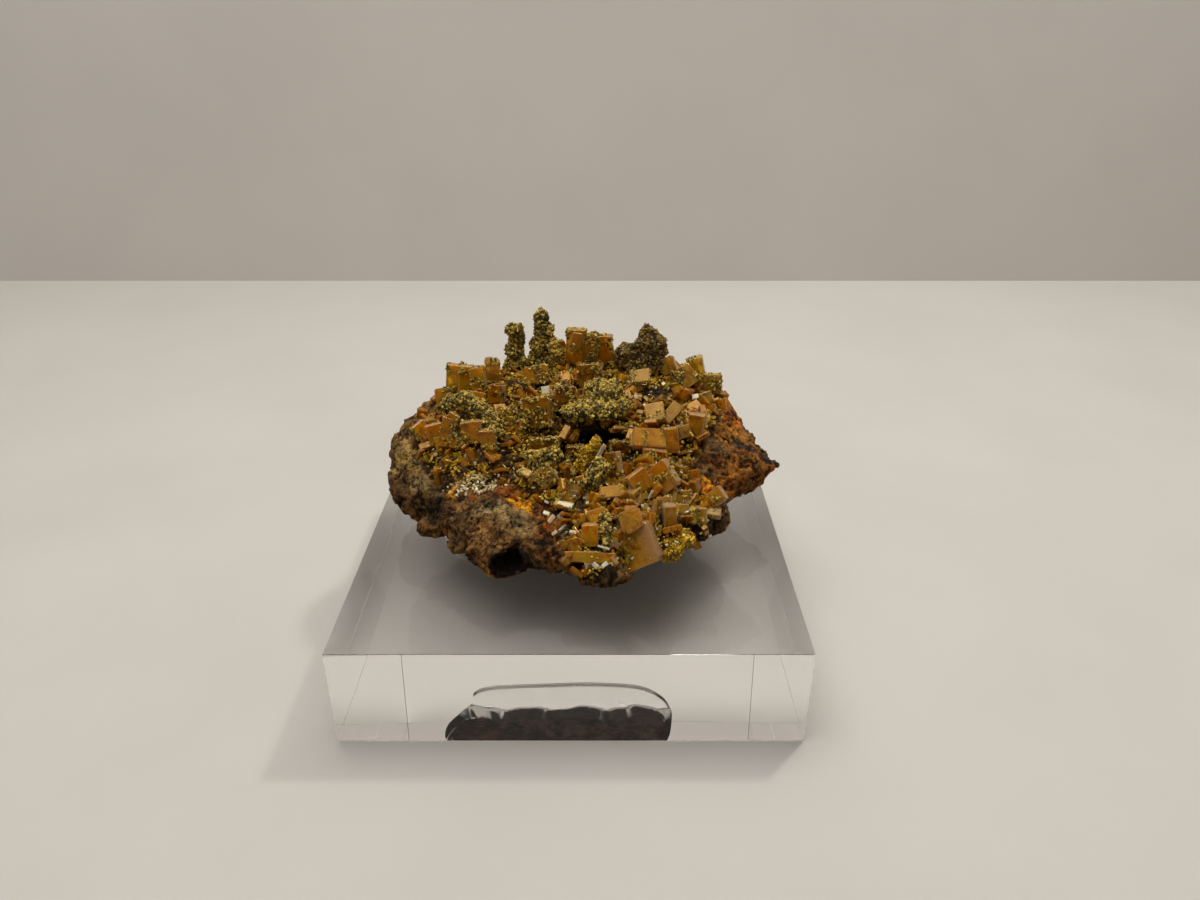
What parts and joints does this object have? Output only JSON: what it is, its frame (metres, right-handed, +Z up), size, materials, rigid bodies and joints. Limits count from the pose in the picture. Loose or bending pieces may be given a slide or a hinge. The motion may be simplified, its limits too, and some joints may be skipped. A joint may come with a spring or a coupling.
{
  "type": "wulfenite on matrix",
  "caption": "Rusty plate of matrix with a druse of square orange wulfenite tablets and olive mimetite crusts, stuck with clear gel to a square block of clear acrylic.",
  "frame": {"origin": "centre of the acrylic block's flat underside, on the surface it stands on", "axes": "+Z up, out of the block's top; -Y is the front, towards which the drusy face looks; +X is to the right seen from the front"},
  "size_m": [0.0514, 0.0508, 0.035],
  "materials": {
    "acrylic": "clear polished acrylic",
    "gel": "clear gel, slightly cloudy",
    "ironstone": "rough rusty brown with ochre, grey and black patches",
    "wulfenite_orange": "glassy to resinous, honey orange",
    "wulfenite_amber": "glassy to resinous, dark amber",
    "wulfenite_tan": "glassy, pale pinkish tan",
    "mimetite": "granular, olive to mustard, waxy grains"
  },
  "bodies": {
    "root": {"acrylic_block": "acrylic", "clear_gel_pad": "gel", "matrix": "ironstone", "wulfenite_front": "wulfenite_orange", "wulfenite_right_edge": "wulfenite_tan", "wulfenite_centre_right": "wulfenite_orange", "wulfenite_right_shoulder": "wulfenite_tan", "wulfenite_right_back": "wulfenite_tan", "wulfenite_centre_left": "wulfenite_tan", "wulfenite_centre": "wulfenite_amber", "wulfenite_left": "wulfenite_orange", "wulfenite_left_back": "wulfenite_orange", "wulfenite_back": "wulfenite_amber", "mimetite_centre_cap": "mimetite", "mimetite_left_ridge": "mimetite", "mimetite_left_spire": "mimetite", "mimetite_tall_spire": "mimetite", "mimetite_back_lump": "mimetite", "mimetite_low_left": "mimetite", "mimetite_low_centre": "mimetite", "mimetite_front_right": "mimetite", "mimetite_stub": "mimetite"}
  },
  "joints": []
}
